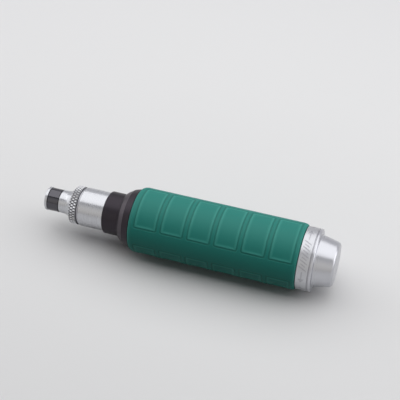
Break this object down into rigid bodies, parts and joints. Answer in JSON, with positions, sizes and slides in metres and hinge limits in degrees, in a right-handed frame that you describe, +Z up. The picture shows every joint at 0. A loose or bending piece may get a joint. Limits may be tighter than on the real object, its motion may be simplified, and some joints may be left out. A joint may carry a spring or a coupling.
{
  "type": "hand impact driver",
  "caption": "Hand impact driver: struck steel barrel with rubber grip, spring-loaded cam spindle and a pull-off bit holder with a hexagon mouth.",
  "frame": {"origin": "on the surface that the tool lies on, under the middle of its length", "axes": "+X along the tool towards the struck end, +Z up; the tool's axis lies one grip radius above the origin"},
  "size_m": [0.1676, 0.0369, 0.0369],
  "materials": {
    "forged_steel": "satin plated",
    "chromed_steel": "satin chrome",
    "blackened_steel": "black oxide",
    "hardened_steel": "ground",
    "spring_steel": "drawn wire",
    "bronze": "sintered",
    "green_rubber": "moulded matt",
    "black_rubber": "moulded",
    "black_band": "gloss black"
  },
  "bodies": {
    "barrel": {"barrel": "forged_steel", "grip_sleeve": "green_rubber", "nose_cap": "blackened_steel", "nose_seal": "black_rubber", "cap_lock_screw": "hardened_steel", "snap_ring": "spring_steel", "front_bush": "bronze", "bumper_ring": "black_rubber", "cam_sleeve": "hardened_steel", "sleeve_dowel_left": "hardened_steel", "sleeve_dowel_right": "hardened_steel", "spring_seat": "hardened_steel", "return_spring": "spring_steel"},
    "thrust_plate": {"thrust_plate": "hardened_steel"},
    "spindle": {"drive_spindle": "blackened_steel", "cross_pin": "hardened_steel", "detent_spring": "spring_steel"},
    "detent": {"detent_ball": "hardened_steel"},
    "holder": {"bit_holder": "chromed_steel", "retainer_band": "black_band"},
    "bit_ball": {"bit_ball": "hardened_steel"}
  },
  "joints": [
    {"name": "impact_stroke", "type": "slide", "parent": "barrel", "child": "thrust_plate", "axis": [1, 0, 0], "range_m": [0, 0.008], "stiffness_N_per_m": 6000, "springref_m": -0.008, "deforming": ["return_spring"]},
    {"name": "cam_twist", "type": "hinge", "parent": "thrust_plate", "child": "spindle", "pos_m": [0, 0, 0.01849], "axis": [1, 0, 0], "range_deg": [0, 35.1]},
    {"name": "detent_press", "type": "slide", "parent": "spindle", "child": "detent", "axis": [0, 0, -1], "range_m": [0, 0.0008], "stiffness_N_per_m": 400, "springref_m": -0.0005, "deforming": ["detent_spring"]},
    {"name": "holder_pull", "type": "slide", "parent": "spindle", "child": "holder", "axis": [-1, 0, 0], "range_m": [0, 0.018]},
    {"name": "bit_ball_press", "type": "slide", "parent": "holder", "child": "bit_ball", "axis": [0, 0, 1], "range_m": [0, 0.0004], "stiffness_N_per_m": 400, "springref_m": -0.0003}
  ],
  "couplings": [
    {"joint": "cam_twist", "follows": "impact_stroke", "rad_per_m": 76.358}
  ]
}
